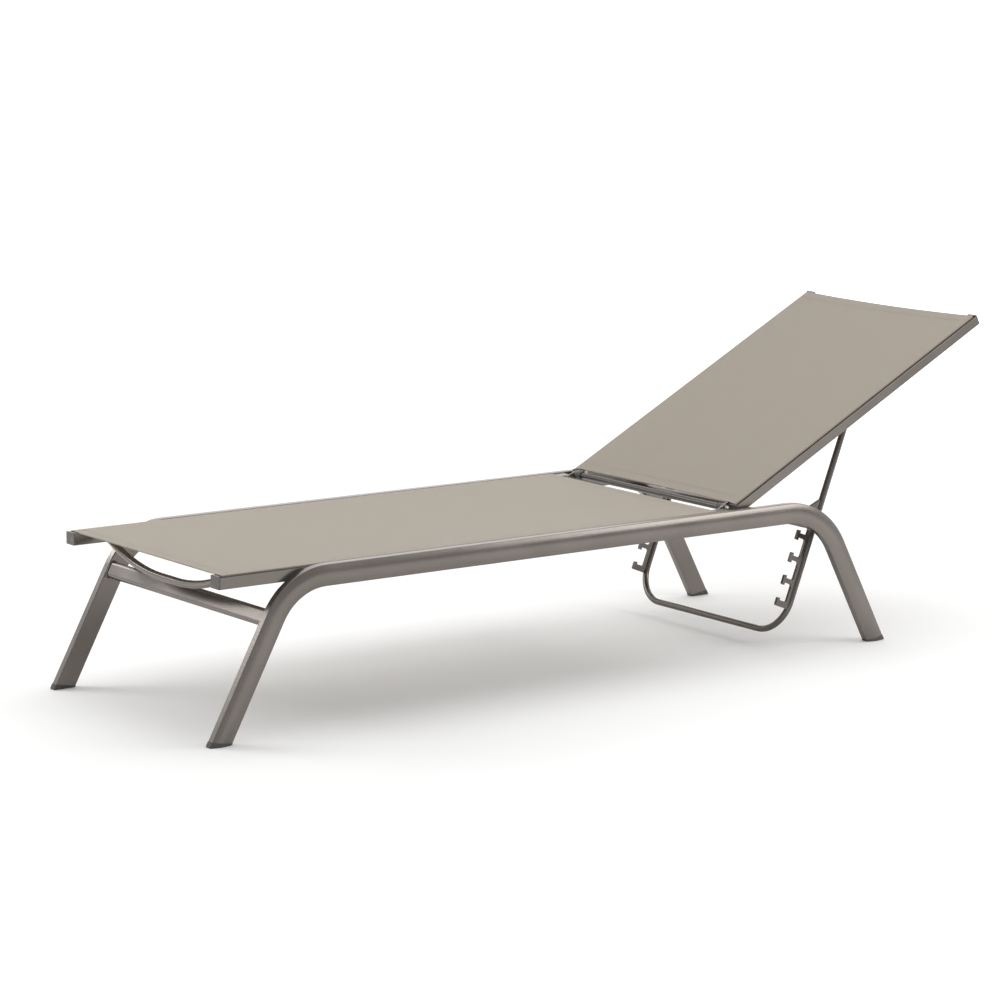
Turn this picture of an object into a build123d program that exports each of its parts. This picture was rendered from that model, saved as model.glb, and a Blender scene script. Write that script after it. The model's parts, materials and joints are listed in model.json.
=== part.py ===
from build123d import *
from math import atan2, cos, radians, sin, tan
import os

# Sun lounger: two bent side frames carry a fixed seat sling and a backrest that tilts about a
# cross axis. A U-shaped support hangs from the backrest, and its two toothed racks hook over a
# catch bar between the rear legs.
#
# Lengths are millimetres. X runs from the foot end to the head end, Y across, Z up from the floor.
# Sizes are laid out with X = 0 at the foot end of the seat rails. The export then moves X = 0 to
# the middle of the lounger's length. "Left" is the side at -Y.

OVERRUN = 5.0  # how far a cutting shape runs past what it cuts
SEAT_GAP = 0.3  # clearance between a soft or loose piece and its seat
FIT_GAP = 0.1  # radial clearance of a bolt or pin in its hole

# Overall
WIDTH = 606.0  # over the outer faces of the side frames
SEAT_TOP = 316.0  # top of the seat rails

# Side frame tube: a flat inner face, flat narrow faces and a crowned outer face
TUBE_DEPTH = 42.0  # in the plane of the frame
TUBE_THICK = 21.0  # across the lounger, with the crown
TUBE_CROWN = 5.0  # how far the outer face bulges
TUBE_WALL = 2.0
TUBE_EDGE_RADIUS = 2.0
TUBE_RISE = 2.0  # from the top of the seat rails to the top of the run
LEG_LEAN = 28.1  # degrees from upright
FRONT_TOE_X = -35.4  # foremost point of the front feet
REAR_TOE_REACH = 404.4  # from the hinge axis to the rearmost point of the rear feet
FRONT_BEND_RADIUS = 128.0  # on the centreline
REAR_BEND_RADIUS = 152.0

# Foot caps
FOOT_BAND = 7.5  # visible height of a cap on the centreline of the leg
FOOT_SLANT = 10.0  # degrees, the tube's cut end from level: the band is higher at the toe
FOOT_SKIN = 0.8  # how far a cap stands out round the tube
FOOT_PLUG = 24.0  # height of the plug inside the tube
FOOT_EDGE_RADIUS = 1.5

# Sling rails: a box extrusion with a keyhole groove along the outer top edge
RAIL_WALL = 2.0
RAIL_EDGE_RADIUS = 1.5
GROOVE_LIP = 2.6  # from the outer face to the slot
GROOVE_SLOT = 3.6
LIP_DROP = 2.5  # how far the groove's outer lip lies below the rail's top
LIP_EDGE_RADIUS = 0.5
GROOVE_BORE_RADIUS = 2.9
GROOVE_BORE_DEPTH = 6.2  # from the top face to the middle of the bore
SPLINE_RADIUS = 2.3
SLING_THICK = 1.2
CAP_PLUG = 16.0  # length of a rail cap's plug
CAP_EDGE = 0.6  # chamfer round a cap's face

# Seat
SEAT_RAIL_WIDTH = 30.0
SEAT_RAIL_HEIGHT = 25.0
SEAT_FOOT_CAP = 3.0  # thickness of the caps before the foot end of the rails
SEAT_HEAD_CAP = 5.0
SEAT_SLING_FOOT_X = 5.0
SEAT_SLING_INSET = 34.0  # from the head end of the seat rails

# Cross bars of the seat
BOW_RADIUS = 7.75
BOW_WALL = 1.5
BOW_DROP = 46.0  # how far the middle of a bow lies below its ends
BOW_CENTRE_DEPTH = 11.0  # from the seat top to the centre of a bow's end
BOW_SHOULDER_SHARE = 0.905  # of the half width, where a bow starts to dip
BOW_FLAT_SHARE = 0.468  # of the half width, where it levels out
BOW_BEND_SHARES = (0.5, 0.765)  # of the level runs, taken by the shoulder and belly bends
FOOT_BOW_X = 60.0
HEAD_BOW_INSET = 109.0  # from the head end of the seat rails
CROSS_TUBE_Z = 227.5
CROSS_TUBE_DEPTH = 34.0  # along the leg
CROSS_TUBE_THICK = 15.0
CROSS_TUBE_WALL = 1.5
CROSS_TUBE_FORWARD = 10.0  # ahead of the centreline of the front leg

# Bolts that hold a seat rail to its side frame
RAIL_BOLT_RADIUS = 3.0
RAIL_BOLT_HEAD_RADIUS = 5.0
RAIL_BOLT_HEAD = 3.0
RAIL_BOLT_REACH = 3.5  # past the inner face of the side frame
RAIL_BOLT_INSET = 250.0  # of the first and last bolt from the ends of the rail
RAIL_BOLT_COUNT = 3

# Backrest, in its own plane: along the rail from the hinge axis, and up from that axis
HINGE_X = 1236.0
HINGE_Z = 315.5
HINGE_TO_SEAT_RAIL = 12.0  # from the axis to the head end of the seat rails
HINGE_GAP = 1.0  # between an ear of the backrest and a bracket of the seat
REST_TILT = 27.6  # degrees above level
BACK_RAIL_WIDTH = 26.0
BACK_RAIL_HEIGHT = 22.0
BACK_RAIL_TOP = 3.0  # above the hinge axis
BACK_START = 9.5  # from the hinge axis to the lower caps
BACK_END = 759.7  # from the hinge axis to the head end
BACK_LOWER_CAP = 4.0
BACK_HEAD_CAP = 3.0
BACK_SLING_START = 22.0  # along the rails
BACK_SLING_HEM = 12.3  # between the rails
BACK_SLING_CORNER = 4.0  # from an ear to the side of that deeper hem
BACK_SLING_END = 752.0
HEAD_BAR_ALONG = 700.0
HEAD_BAR_DROP = 30.0

# Hinge: a cross tube on the axis, collars, ears on the backrest and brackets on the seat
HINGE_TUBE_RADIUS = 6.5
HINGE_TUBE_BORE = 4.05
HINGE_PIN_RADIUS = 4.0
COLLAR_RADIUS = 8.5
COLLAR_LENGTH = 14.0
EAR_THICK = 4.0
EAR_RADIUS = 8.5
EAR_TAIL_RADIUS = 6.0
EAR_REACH = 40.0  # from the axis to the middle of the ear's far end
EAR_RISE = -8.5
EAR_BOLT_ALONG = (20.0, 37.0)
HINGE_WASHER_RADIUS = 7.5
HINGE_WASHER_THICK = 0.6
HINGE_BRACKET_THICK = 4.0
HINGE_BRACKET_REACH = 90.0  # from the axis to the bracket's far end
HINGE_BRACKET_HEIGHT = 17.0
HINGE_BRACKET_BOLT_SHARES = (0.867, 0.444)  # of that reach
HINGE_NUT_RADIUS = 6.5
HINGE_NUT_LENGTH = 5.0
HINGE_PIN_STICKOUT = 5.0
HINGE_PIN_DEPTH = 16.0  # inside the hinge tube
PLATE_BOLT_RADIUS = 2.5
PLATE_BOLT_HEAD_RADIUS = 4.2
PLATE_BOLT_HEAD = 2.6
PLATE_BOLT_REACH = 4.0  # past the face that the plate lies on

# Support: a U-shaped tube that hangs from the backrest rails
PIVOT_ALONG = 383.6  # from the hinge axis
PIVOT_DROP = 9.0  # below the hinge axis, at right angles to the rail
SUPPORT_LEAN = 21.33  # degrees from upright, the foot of the U towards the foot end
ARM_RADIUS = 6.75
ARM_WALL = 1.5
ARM_LENGTH = 489.5  # from the pivot to the middle of the bottom bar
ARM_CORNER_RADIUS = 72.0
ARM_TOP = 7.0  # above the pivot
ARM_PLUG = 8.0
ARM_PLUG_FLANGE = 1.5
PIVOT_BOLT_RADIUS = 3.0
PIVOT_BOLT_HEAD_RADIUS = 5.5
PIVOT_BOLT_HEAD = 3.5
SPACER_RADIUS = 7.0
SPACER_LENGTH = 1.95
PIVOT_NUT_RADIUS = 5.5
PIVOT_NUT_LENGTH = 4.5
PIVOT_BOLT_STICKOUT = 1.5

# Racks: along the arm from the pivot, and out from its centreline
RACK_THICK = 6.0
RACK_BACK = 6.8
RACK_SPINE = 13.0
HOOK_START = 196.0
HOOK_TOP = 228.5
HOOK_END = 243.0
TOOTH_INNER = 33.0
TOOTH_OUTER = 40.0
TOOTH_LENGTH = 21.0
TOOTH_NECK = 10.0
TOOTH_FIRST = 281.5  # middle of the first tooth
TOOTH_PITCH = 49.1
TOOTH_COUNT = 3
RACK_END = 436.0
TOE_LENGTH = 17.6
TOE_NECK = 13.0
RACK_ROOT_RADIUS = 4.5
RACK_HEAD_RADIUS = 3.0

# Catch bar: waits in front of the first slot of the racks
CATCH_BAR_RADIUS = 9.0
CATCH_BAR_WALL = 1.5
CATCH_BAR_CLEAR = 4.0  # from the racks when the support hangs free

# Places worked out from the sizes above
INNER_Y = WIDTH / 2 - TUBE_THICK
SEAT_RAIL_INNER_Y = INNER_Y - SEAT_RAIL_WIDTH
SEAT_RAIL_HEAD_X = HINGE_X - HINGE_TO_SEAT_RAIL
SEAT_SLING_HEAD_X = SEAT_RAIL_HEAD_X - SEAT_SLING_INSET
HEAD_BOW_X = SEAT_RAIL_HEAD_X - HEAD_BOW_INSET
HINGE_BRACKET_BOLT_X = [HINGE_X - share * HINGE_BRACKET_REACH for share in HINGE_BRACKET_BOLT_SHARES]
BACK_RAIL_INNER_Y = SEAT_RAIL_INNER_Y - HINGE_BRACKET_THICK - HINGE_GAP
BACK_OUTER_Y = BACK_RAIL_INNER_Y + BACK_RAIL_WIDTH
ARM_Y = BACK_RAIL_INNER_Y - SPACER_LENGTH - SEAT_GAP - ARM_RADIUS
GROOVE_MIDDLE = GROOVE_LIP + GROOVE_SLOT / 2
TOP_RUN_Z = SEAT_TOP + TUBE_RISE - TUBE_DEPTH / 2
LEG_HALF_AT_FLOOR = TUBE_DEPTH / 2 / cos(radians(LEG_LEAN))
FRONT_LEG_X = FRONT_TOE_X + LEG_HALF_AT_FLOOR
REAR_TOE_X = HINGE_X + REAR_TOE_REACH
REAR_LEG_X = REAR_TOE_X - LEG_HALF_AT_FLOOR
LEG_RUN = tan(radians(LEG_LEAN))
HEAD_CORNER_DROP = BACK_RAIL_HEIGHT - BACK_RAIL_TOP
HEAD_END_X = HINGE_X + BACK_END * cos(radians(REST_TILT)) + HEAD_CORNER_DROP * sin(radians(REST_TILT))
ORIGIN_X = (FRONT_TOE_X - FOOT_SKIN / cos(radians(LEG_LEAN)) + HEAD_END_X) / 2

BACKREST = Pos(HINGE_X, 0, HINGE_Z) * Rot(0, -REST_TILT, 0)
SUPPORT = BACKREST * Pos(PIVOT_ALONG, 0, -PIVOT_DROP) * Rot(0, REST_TILT + SUPPORT_LEAN, 0)
SIDES = {"left": -1, "right": 1}


def save(node, shape):
    """Writes one node, with X measured from the middle of the lounger."""
    solids = [Pos(-ORIGIN_X, 0, 0) * solid for solid in shape.solids()]
    print(node, len(solids), round(sum(solid.volume for solid in solids)))
    export_step(Compound(children=solids) if len(solids) > 1 else solids[0], f"parts/{node}.step")


def rod(radius, start, end):
    """A cylinder between two points."""
    line = Vector(end) - Vector(start)
    return extrude(Plane(origin=start, z_dir=line) * Circle(radius), amount=line.length)


def ring(radius, bore, start, end):
    """A cylinder with a bore, between two points."""
    line = Vector(end) - Vector(start)
    face = Circle(radius) - Circle(bore)
    return extrude(Plane(origin=start, z_dir=line) * face, amount=line.length)


def pipe(path, radius, wall):
    """A round tube along a path."""
    start = Plane(origin=path @ 0, z_dir=path % 0)
    return sweep(start * (Circle(radius) - Circle(radius - wall)), path=path)


def hexagon(radius, bore, start, end):
    """A nut between two points, with its bore."""
    line = Vector(end) - Vector(start)
    face = RegularPolygon(radius, 6) - Circle(bore)
    return extrude(Plane(origin=start, z_dir=line) * face, amount=line.length)


def group(pieces):
    """Separate solids that share one node."""
    return Compound(children=[solid for piece in pieces for solid in piece.solids()])


def tube_outline(grow):
    """The side frame's outline, X outwards from the inner face, grown by a margin."""
    flat = TUBE_THICK - TUBE_CROWN
    half = TUBE_DEPTH / 2
    sides = Polyline((flat, -half), (0, -half), (0, half), (flat, half))
    crown = ThreePointArc((flat, half), (TUBE_THICK, 0), (flat, -half))
    face = make_face(sides + crown)
    face = fillet(face.vertices(), TUBE_EDGE_RADIUS)
    return offset(face, grow) if grow else face


def leg_plane(side, front):
    """The plane square to a leg where its centreline meets the floor."""
    x = FRONT_LEG_X if front else REAR_LEG_X
    lean = sin(radians(LEG_LEAN)) if front else -sin(radians(LEG_LEAN))
    rise = cos(radians(LEG_LEAN))
    return Plane(origin=(x, side * INNER_Y, 0), x_dir=(0, side, 0), z_dir=(lean, 0, rise))


def foot_cut(front):
    """The plane of a leg's cut end, which slopes down from the toe to the heel."""
    x = FRONT_LEG_X if front else REAR_LEG_X
    lean = sin(radians(FOOT_SLANT)) if front else -sin(radians(FOOT_SLANT))
    return Plane(origin=(x, 0, FOOT_BAND), z_dir=(lean, 0, cos(radians(FOOT_SLANT))))


def side_frame(side):
    """Bent tube: front leg, top run and rear leg, cut off above the foot caps."""
    below = TUBE_DEPTH
    points = [
        (FRONT_LEG_X - below * LEG_RUN, side * INNER_Y, -below),
        (FRONT_LEG_X + TOP_RUN_Z * LEG_RUN, side * INNER_Y, TOP_RUN_Z),
        (REAR_LEG_X - TOP_RUN_Z * LEG_RUN, side * INNER_Y, TOP_RUN_Z),
        (REAR_LEG_X + below * LEG_RUN, side * INNER_Y, -below),
    ]
    path = FilletPolyline(*points, radius=[FRONT_BEND_RADIUS, REAR_BEND_RADIUS])
    start = Plane(origin=path @ 0, x_dir=(0, side, 0), z_dir=path % 0)
    tube = sweep(start * tube_outline(0), path=path)
    tube -= sweep(start * tube_outline(-TUBE_WALL), path=path)
    for front in (True, False):
        tube = split(tube, bisect_by=foot_cut(front), keep=Keep.TOP)
    for x in rail_bolt_places():
        z = SEAT_TOP - SEAT_RAIL_HEIGHT / 2
        inner = (x, side * (INNER_Y - OVERRUN), z)
        tube -= rod(RAIL_BOLT_RADIUS + FIT_GAP, inner, (x, side * (INNER_Y + RAIL_BOLT_REACH), z))
    return tube


def foot_cap(side, front):
    """Moulded cap: a band under the tube's cut end and a plug inside it."""
    plane = leg_plane(side, front)
    reach = FOOT_BAND + FOOT_PLUG + TUBE_DEPTH
    band = extrude(plane * tube_outline(FOOT_SKIN), amount=reach, both=True)
    band = split(band, bisect_by=Plane.XY, keep=Keep.TOP)
    band = split(band, bisect_by=foot_cut(front), keep=Keep.BOTTOM)
    band = chamfer(band.edges().group_by(Axis.Z)[0], FOOT_EDGE_RADIUS)
    plug = extrude(plane * tube_outline(-TUBE_WALL - SEAT_GAP), amount=reach, both=True)
    plug = split(plug, bisect_by=foot_cut(front), keep=Keep.TOP)
    plug = split(plug, bisect_by=Plane.XY.offset(FOOT_BAND + FOOT_PLUG), keep=Keep.BOTTOM)
    return band + plug


def rail_outline(width, height):
    """A sling rail's solid outline: X inwards from its outer face, Y down from its top."""
    face = Pos(width / 2, height / 2) * Rectangle(width, height)
    return fillet(face.vertices(), RAIL_EDGE_RADIUS)


def rail_hollow(width, height, gap):
    """The hollow of a sling rail beside and below its groove, shrunk by a gap."""
    left = GROOVE_MIDDLE + GROOVE_BORE_RADIUS + RAIL_WALL
    depth = GROOVE_BORE_DEPTH + GROOVE_BORE_RADIUS + RAIL_WALL
    beside = Pos((left + width - RAIL_WALL) / 2, height / 2)
    beside *= Rectangle(width - RAIL_WALL - left, height - 2 * RAIL_WALL)
    under = Pos(width / 2, (depth + height - RAIL_WALL) / 2)
    under *= Rectangle(width - 2 * RAIL_WALL, height - RAIL_WALL - depth)
    face = beside + under
    return offset(face, -gap, kind=Kind.INTERSECTION) if gap else face


def rail_groove():
    """The keyhole groove that holds the sling's edge."""
    bore = Pos(GROOVE_MIDDLE, GROOVE_BORE_DEPTH) * Circle(GROOVE_BORE_RADIUS)
    height = GROOVE_BORE_DEPTH + OVERRUN
    slot = Pos(GROOVE_MIDDLE, GROOVE_BORE_DEPTH - height / 2) * Rectangle(GROOVE_SLOT, height)
    above_lip = Pos((GROOVE_MIDDLE - OVERRUN) / 2, (LIP_DROP - OVERRUN) / 2)
    above_lip *= Rectangle(GROOVE_MIDDLE + OVERRUN, LIP_DROP + OVERRUN)
    return bore + slot + above_lip


def rail_plane(side, half_width, x, top):
    """The plane of a rail's outline at one X: X inwards, Y down."""
    plane = Plane(origin=(x, side * half_width, top), x_dir=(0, -side, 0), z_dir=(side, 0, 0))
    return plane


def rail_length(side, face, half_width, top, start, end):
    """An outline drawn along a rail from one X to another."""
    x = start if side > 0 else end
    return extrude(rail_plane(side, half_width, x, top) * face, amount=end - start)


def rail(side, half_width, top, width, height, start, end):
    """A sling rail between two X values."""
    face = rail_outline(width, height) - rail_hollow(width, height, 0) - rail_groove()
    lip = face.vertices().filter_by_position(Axis.Y, LIP_DROP, LIP_DROP)
    face = fillet(lip, LIP_EDGE_RADIUS)
    return rail_length(side, face, half_width, top, start, end)


def rail_cap(side, half_width, top, width, height, ends):
    """A rail's end cap. It covers the rail's end from ends[0] to ends[1], and its plug goes on."""
    outer, inner = ends
    low, high = sorted(ends)
    cover = rail_length(side, rail_outline(width, height), half_width, top, low, high)
    cover = chamfer(cover.edges().group_by(Axis.X)[0 if outer < inner else -1], CAP_EDGE)
    plug_end = inner + (CAP_PLUG if inner > outer else -CAP_PLUG)
    low, high = sorted((inner, plug_end))
    plug = rail_length(side, rail_hollow(width, height, SEAT_GAP), half_width, top, low, high)
    return cover + plug


def rail_bolt_places():
    """X of each bolt that holds a seat rail."""
    span = SEAT_RAIL_HEAD_X - 2 * RAIL_BOLT_INSET
    return [RAIL_BOLT_INSET + span * i / (RAIL_BOLT_COUNT - 1) for i in range(RAIL_BOLT_COUNT)]


def seat_rail(side):
    end = SEAT_RAIL_HEAD_X - SEAT_HEAD_CAP
    shape = rail(side, INNER_Y, SEAT_TOP, SEAT_RAIL_WIDTH, SEAT_RAIL_HEIGHT, 0, end)
    z = SEAT_TOP - SEAT_RAIL_HEIGHT / 2
    for x in rail_bolt_places():
        inner = (x, side * (SEAT_RAIL_INNER_Y - OVERRUN), z)
        shape -= rod(RAIL_BOLT_RADIUS + FIT_GAP, inner, (x, side * (INNER_Y + OVERRUN), z))
    for x in HINGE_BRACKET_BOLT_X:
        inner = (x, side * (SEAT_RAIL_INNER_Y - OVERRUN), z)
        outer = (x, side * (SEAT_RAIL_INNER_Y + RAIL_WALL + OVERRUN), z)
        shape -= rod(PLATE_BOLT_RADIUS + FIT_GAP, inner, outer)
    return shape


def seat_cap(side, foot):
    ends = (-SEAT_FOOT_CAP, 0) if foot else (SEAT_RAIL_HEAD_X, SEAT_RAIL_HEAD_X - SEAT_HEAD_CAP)
    return rail_cap(side, INNER_Y, SEAT_TOP, SEAT_RAIL_WIDTH, SEAT_RAIL_HEIGHT, ends)


def seat_rail_bolts():
    """Socket screws from inside the rails into the side frames."""
    z = SEAT_TOP - SEAT_RAIL_HEIGHT / 2
    bolts = []
    for side in SIDES.values():
        for x in rail_bolt_places():
            face = side * SEAT_RAIL_INNER_Y
            head = rod(RAIL_BOLT_HEAD_RADIUS, (x, face - side * RAIL_BOLT_HEAD, z), (x, face, z))
            end = side * (INNER_Y + RAIL_BOLT_REACH)
            bolts.append(head + rod(RAIL_BOLT_RADIUS, (x, face, z), (x, end, z)))
    return group(bolts)


def spline(side, half_width, top, start, end):
    """Round rod that holds the sling's edge in its groove."""
    y = side * (half_width - GROOVE_MIDDLE)
    return rod(SPLINE_RADIUS, (start, y, top - GROOVE_BORE_DEPTH), (end, y, top - GROOVE_BORE_DEPTH))


def sling(half_width, top, start, end):
    """Stretched cloth over both rails. Its edges are turned down into the grooves."""
    low = top + SEAT_GAP
    edge = half_width - GROOVE_MIDDLE + SLING_THICK / 2
    cloth = cloth_box(start, end, edge, -edge, low, low + SLING_THICK)
    tuck = top - GROOVE_BORE_DEPTH + SPLINE_RADIUS + SEAT_GAP
    for side in SIDES.values():
        inside = side * (edge - SLING_THICK)
        cloth += cloth_box(start, end, inside, side * edge, tuck, low + SLING_THICK)
    return cloth


def cloth_box(start, end, y0, y1, low, high):
    """A slab of cloth between two X, two Y and two Z values."""
    middle = Pos((start + end) / 2, (y0 + y1) / 2, (low + high) / 2)
    return middle * Box(end - start, abs(y1 - y0), high - low)


def backrest_sling():
    """The backrest's cloth, whose lower hem reaches nearer the hinge tube between the ears."""
    cloth = sling(BACK_OUTER_Y, BACK_RAIL_TOP, BACK_SLING_START, BACK_SLING_END)
    side = BACK_RAIL_INNER_Y - EAR_THICK - BACK_SLING_CORNER
    low = BACK_RAIL_TOP + SEAT_GAP
    return cloth + cloth_box(BACK_SLING_HEM, BACK_SLING_START, -side, side, low, low + SLING_THICK)


def bow_bar(x, end_z, end_y, drop):
    """Cross bar whose middle dips clear of the sling."""
    shoulder = end_y * BOW_SHOULDER_SHARE
    flat = end_y * BOW_FLAT_SHARE
    points = [
        (x, -end_y, end_z),
        (x, -shoulder, end_z),
        (x, -flat, end_z - drop),
        (x, flat, end_z - drop),
        (x, shoulder, end_z),
        (x, end_y, end_z),
    ]
    half_turn = tan(atan2(drop, shoulder - flat) / 2)
    shoulder_radius = BOW_BEND_SHARES[0] * (end_y - shoulder) / half_turn
    belly_radius = BOW_BEND_SHARES[1] * flat / half_turn
    radii = [shoulder_radius, belly_radius, belly_radius, shoulder_radius]
    return pipe(FilletPolyline(*points, radius=radii), BOW_RADIUS, BOW_WALL)


def front_cross_tube():
    """Oval tube between the front legs, its long side along the legs."""
    x = FRONT_LEG_X + CROSS_TUBE_Z * LEG_RUN - CROSS_TUBE_FORWARD / cos(radians(LEG_LEAN))
    lean = radians(LEG_LEAN)
    plane = Plane(
        origin=(x, -INNER_Y, CROSS_TUBE_Z), x_dir=(sin(lean), 0, cos(lean)), z_dir=(0, 1, 0)
    )
    oval = SlotOverall(CROSS_TUBE_DEPTH, CROSS_TUBE_THICK)
    bore = SlotOverall(CROSS_TUBE_DEPTH - 2 * CROSS_TUBE_WALL, CROSS_TUBE_THICK - 2 * CROSS_TUBE_WALL)
    return extrude(plane * (oval - bore), amount=2 * INNER_Y)


def slot_middle(index):
    """Along the arm: the middle of a rack's slot, counted from 0 at the hook."""
    return TOOTH_FIRST + TOOTH_PITCH * (index - 1 / 2)


def catch_bar():
    out = TOOTH_OUTER + CATCH_BAR_CLEAR + CATCH_BAR_RADIUS
    centre = (SUPPORT * Pos(-out, 0, -slot_middle(0))).position
    start = (centre.X, -INNER_Y, centre.Z)
    end = (centre.X, INNER_Y, centre.Z)
    return ring(CATCH_BAR_RADIUS, CATCH_BAR_RADIUS - CATCH_BAR_WALL, start, end)


def hinge_bracket(side):
    """Plate on the seat rail whose rounded nose carries the hinge pin."""
    y = side * SEAT_RAIL_INNER_Y
    middle = SEAT_TOP - SEAT_RAIL_HEIGHT / 2
    half = HINGE_BRACKET_HEIGHT / 2
    end_x = HINGE_BRACKET_BOLT_X[-1] + half
    plane = Plane(origin=(0, y, 0), x_dir=(1, 0, 0), z_dir=(0, -side, 0))
    up = side
    strip = Polyline(
        (HINGE_X - HINGE_BRACKET_REACH, up * (middle - half)),
        (end_x, up * (middle - half)),
        (HINGE_X, up * (HINGE_Z - EAR_RADIUS)),
        (HINGE_X, up * (HINGE_Z + EAR_RADIUS)),
        (end_x, up * (middle + half)),
        (HINGE_X - HINGE_BRACKET_REACH, up * (middle + half)),
        close=True,
    )
    face = make_face(strip) + Pos(HINGE_X, up * HINGE_Z) * Circle(EAR_RADIUS)
    plate = extrude(plane * face, amount=HINGE_BRACKET_THICK)
    far = y - side * (HINGE_BRACKET_THICK + OVERRUN)
    near = y + side * OVERRUN
    plate -= rod(HINGE_PIN_RADIUS + FIT_GAP, (HINGE_X, far, HINGE_Z), (HINGE_X, near, HINGE_Z))
    for x in HINGE_BRACKET_BOLT_X:
        plate -= rod(PLATE_BOLT_RADIUS + FIT_GAP, (x, far, middle), (x, near, middle))
    return plate


def plate_bolt(x, z, side, face, thick):
    """Small screw with its head on a plate and its shank in the rail behind."""
    inner = face - side * thick
    head = rod(PLATE_BOLT_HEAD_RADIUS, (x, inner - side * PLATE_BOLT_HEAD, z), (x, inner, z))
    return head + rod(PLATE_BOLT_RADIUS, (x, inner, z), (x, face + side * PLATE_BOLT_REACH, z))


def hinge_bracket_bolts():
    z = SEAT_TOP - SEAT_RAIL_HEIGHT / 2
    return group(
        plate_bolt(x, z, side, side * SEAT_RAIL_INNER_Y, HINGE_BRACKET_THICK)
        for side in SIDES.values()
        for x in HINGE_BRACKET_BOLT_X
    )


def ear_bolt_rise(along):
    return EAR_RISE * along / EAR_REACH


def hinge_ear(side):
    """Strip on the backrest rail, rounded about the hinge axis."""
    y = side * BACK_RAIL_INNER_Y
    up = side
    plane = Plane(origin=(0, y, 0), x_dir=(1, 0, 0), z_dir=(0, -side, 0))
    nose = Circle(EAR_RADIUS)
    tail = Pos(EAR_REACH, up * EAR_RISE) * Circle(EAR_TAIL_RADIUS)
    plate = extrude(plane * make_hull((nose + tail).edges()), amount=EAR_THICK)
    far = y - side * (EAR_THICK + OVERRUN)
    near = y + side * OVERRUN
    plate -= rod(HINGE_PIN_RADIUS + FIT_GAP, (0, far, 0), (0, near, 0))
    for along in EAR_BOLT_ALONG:
        z = ear_bolt_rise(along)
        plate -= rod(PLATE_BOLT_RADIUS + FIT_GAP, (along, far, z), (along, near, z))
    return BACKREST * plate


def hinge_ear_bolts():
    return BACKREST * group(
        plate_bolt(along, ear_bolt_rise(along), side, side * BACK_RAIL_INNER_Y, EAR_THICK)
        for side in SIDES.values()
        for along in EAR_BOLT_ALONG
    )


def hinge_tube():
    """Lower cross bar of the backrest, on the hinge axis."""
    half = BACK_RAIL_INNER_Y - EAR_THICK - COLLAR_LENGTH
    return BACKREST * ring(HINGE_TUBE_RADIUS, HINGE_TUBE_BORE, (0, -half, 0), (0, half, 0))


def hinge_collar(side):
    outer = BACK_RAIL_INNER_Y - EAR_THICK
    start = (0, side * (outer - COLLAR_LENGTH), 0)
    return BACKREST * ring(COLLAR_RADIUS, HINGE_TUBE_BORE, start, (0, side * outer, 0))


def hinge_washers():
    """Thin washers between the ears and the seat brackets."""
    gap = SEAT_RAIL_INNER_Y - HINGE_BRACKET_THICK - BACK_RAIL_INNER_Y
    start = BACK_RAIL_INNER_Y + (gap - HINGE_WASHER_THICK) / 2
    return group(
        BACKREST
        * ring(
            HINGE_WASHER_RADIUS,
            HINGE_TUBE_BORE,
            (0, side * start, 0),
            (0, side * (start + HINGE_WASHER_THICK), 0),
        )
        for side in SIDES.values()
    )


def hinge_pins():
    """Pins from inside the hinge tube to past the nuts."""
    inner = BACK_RAIL_INNER_Y - EAR_THICK - COLLAR_LENGTH - HINGE_PIN_DEPTH
    outer = SEAT_RAIL_INNER_Y + HINGE_NUT_LENGTH + HINGE_PIN_STICKOUT
    return group(
        BACKREST * rod(HINGE_PIN_RADIUS, (0, side * inner, 0), (0, side * outer, 0))
        for side in SIDES.values()
    )


def hinge_nuts():
    start = SEAT_RAIL_INNER_Y + SEAT_GAP
    return group(
        BACKREST
        * hexagon(
            HINGE_NUT_RADIUS,
            HINGE_TUBE_BORE,
            (0, side * start, 0),
            (0, side * (start + HINGE_NUT_LENGTH), 0),
        )
        for side in SIDES.values()
    )


def backrest_rail(side):
    start = BACK_START + BACK_LOWER_CAP
    end = BACK_END - BACK_HEAD_CAP
    half = BACK_OUTER_Y
    shape = rail(side, half, BACK_RAIL_TOP, BACK_RAIL_WIDTH, BACK_RAIL_HEIGHT, start, end)
    near = side * (BACK_RAIL_INNER_Y - OVERRUN)
    far = side * (BACK_RAIL_INNER_Y + RAIL_WALL + OVERRUN)
    for along in EAR_BOLT_ALONG:
        z = ear_bolt_rise(along)
        shape -= rod(PLATE_BOLT_RADIUS + FIT_GAP, (along, near, z), (along, far, z))
    pivot_near = (PIVOT_ALONG, near, -PIVOT_DROP)
    shape -= rod(PIVOT_BOLT_RADIUS + FIT_GAP, pivot_near, (PIVOT_ALONG, far, -PIVOT_DROP))
    return BACKREST * shape


def backrest_cap(side, head):
    if head:
        ends = (BACK_END, BACK_END - BACK_HEAD_CAP)
    else:
        ends = (BACK_START, BACK_START + BACK_LOWER_CAP)
    half = BACK_OUTER_Y
    cap = rail_cap(side, half, BACK_RAIL_TOP, BACK_RAIL_WIDTH, BACK_RAIL_HEIGHT, ends)
    if not head:
        for along in EAR_BOLT_ALONG:
            z = ear_bolt_rise(along)
            near = (along, side * BACK_RAIL_INNER_Y, z)
            far = (along, side * (BACK_RAIL_INNER_Y + RAIL_WALL + OVERRUN), z)
            cap -= rod(PLATE_BOLT_RADIUS + FIT_GAP, near, far)
    return BACKREST * cap


def backrest_head_bar():
    middle = BACK_RAIL_TOP - BACK_RAIL_HEIGHT / 2
    return BACKREST * bow_bar(HEAD_BAR_ALONG, middle, BACK_RAIL_INNER_Y, HEAD_BAR_DROP)


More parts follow.
